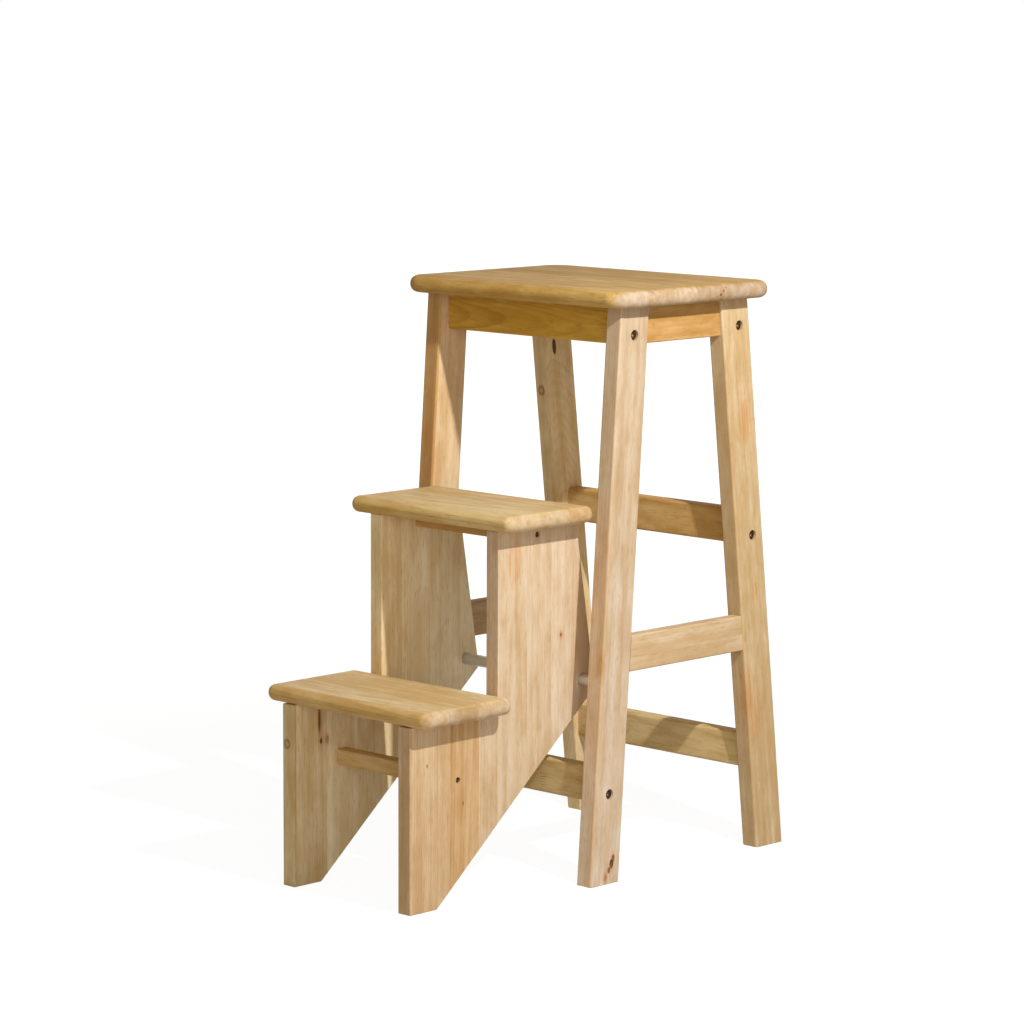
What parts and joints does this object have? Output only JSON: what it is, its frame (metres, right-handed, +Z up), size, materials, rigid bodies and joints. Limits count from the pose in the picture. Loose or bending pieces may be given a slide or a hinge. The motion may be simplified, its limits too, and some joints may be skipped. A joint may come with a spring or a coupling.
{
  "type": "folding step stool",
  "caption": "Wooden step stool with a seat on four legs and a two-step unit that turns on a steel rod and folds into the frame.",
  "frame": {"origin": "on the floor, in the middle of the open stool's width and length", "axes": "+Z up, +Y towards the back legs, the steps stand towards -Y, +X to the right of a person who climbs them"},
  "size_m": [0.34, 0.5516, 0.65],
  "materials": {
    "seat_wood": "satin lacquer",
    "leg_wood": "satin lacquer",
    "rail_wood": "satin lacquer",
    "stringer_wood": "satin lacquer",
    "tread_wood": "satin lacquer",
    "peg_wood": "satin lacquer",
    "rod_steel": "zinc plated",
    "fastener_steel": "dark bronze plated"
  },
  "bodies": {
    "stool": {"seat_board": "seat_wood", "front_leg_left": "leg_wood", "front_leg_right": "leg_wood", "rear_leg_left": "leg_wood", "rear_leg_right": "leg_wood", "front_apron": "rail_wood", "rear_apron": "rail_wood", "side_apron_left": "rail_wood", "side_apron_right": "rail_wood", "side_stretcher_left": "rail_wood", "side_stretcher_right": "rail_wood", "front_low_stretcher": "rail_wood", "rear_mid_stretcher": "rail_wood", "rear_low_stretcher": "rail_wood", "pivot_rod": "rod_steel", "bolt_front_apron_left": "fastener_steel", "bolt_front_apron_right": "fastener_steel", "bolt_rear_apron_left": "fastener_steel", "bolt_rear_apron_right": "fastener_steel", "bolt_front_low_stretcher_left": "fastener_steel", "bolt_front_low_stretcher_right": "fastener_steel", "bolt_rear_mid_stretcher_left": "fastener_steel", "bolt_rear_mid_stretcher_right": "fastener_steel", "dowel_front_apron_left_1": "peg_wood", "dowel_front_apron_right_1": "peg_wood", "dowel_rear_apron_left_1": "peg_wood", "dowel_rear_apron_right_1": "peg_wood", "dowel_front_low_stretcher_left_1": "peg_wood", "dowel_front_low_stretcher_right_1": "peg_wood", "dowel_rear_mid_stretcher_left_1": "peg_wood", "dowel_rear_mid_stretcher_right_1": "peg_wood", "dowel_rear_low_stretcher_left_1": "peg_wood", "dowel_rear_low_stretcher_left_2": "peg_wood", "dowel_rear_low_stretcher_right_1": "peg_wood", "dowel_rear_low_stretcher_right_2": "peg_wood", "seat_screw_front_left": "fastener_steel", "seat_screw_front_right": "fastener_steel", "seat_screw_rear_left": "fastener_steel", "seat_screw_rear_right": "fastener_steel"},
    "steps": {"stringer_left": "stringer_wood", "stringer_right": "stringer_wood", "tread_lower": "tread_wood", "tread_upper": "tread_wood", "step_rail_lower": "rail_wood", "step_rail_upper": "rail_wood", "screw_step_rail_lower_left": "fastener_steel", "screw_step_rail_lower_right": "fastener_steel", "screw_step_rail_upper_left": "fastener_steel", "screw_step_rail_upper_right": "fastener_steel", "peg_tread_lower_left_1": "peg_wood", "peg_tread_lower_left_2": "peg_wood", "peg_tread_lower_right_1": "peg_wood", "peg_tread_lower_right_2": "peg_wood", "peg_tread_upper_left_1": "peg_wood", "peg_tread_upper_left_2": "peg_wood", "peg_tread_upper_right_1": "peg_wood", "peg_tread_upper_right_2": "peg_wood"}
  },
  "joints": [
    {"name": "fold", "type": "hinge", "parent": "stool", "child": "steps", "pos_m": [0, -0.00943, 0.22], "axis": [-1, 0, 0], "range_deg": [0, 145]}
  ]
}
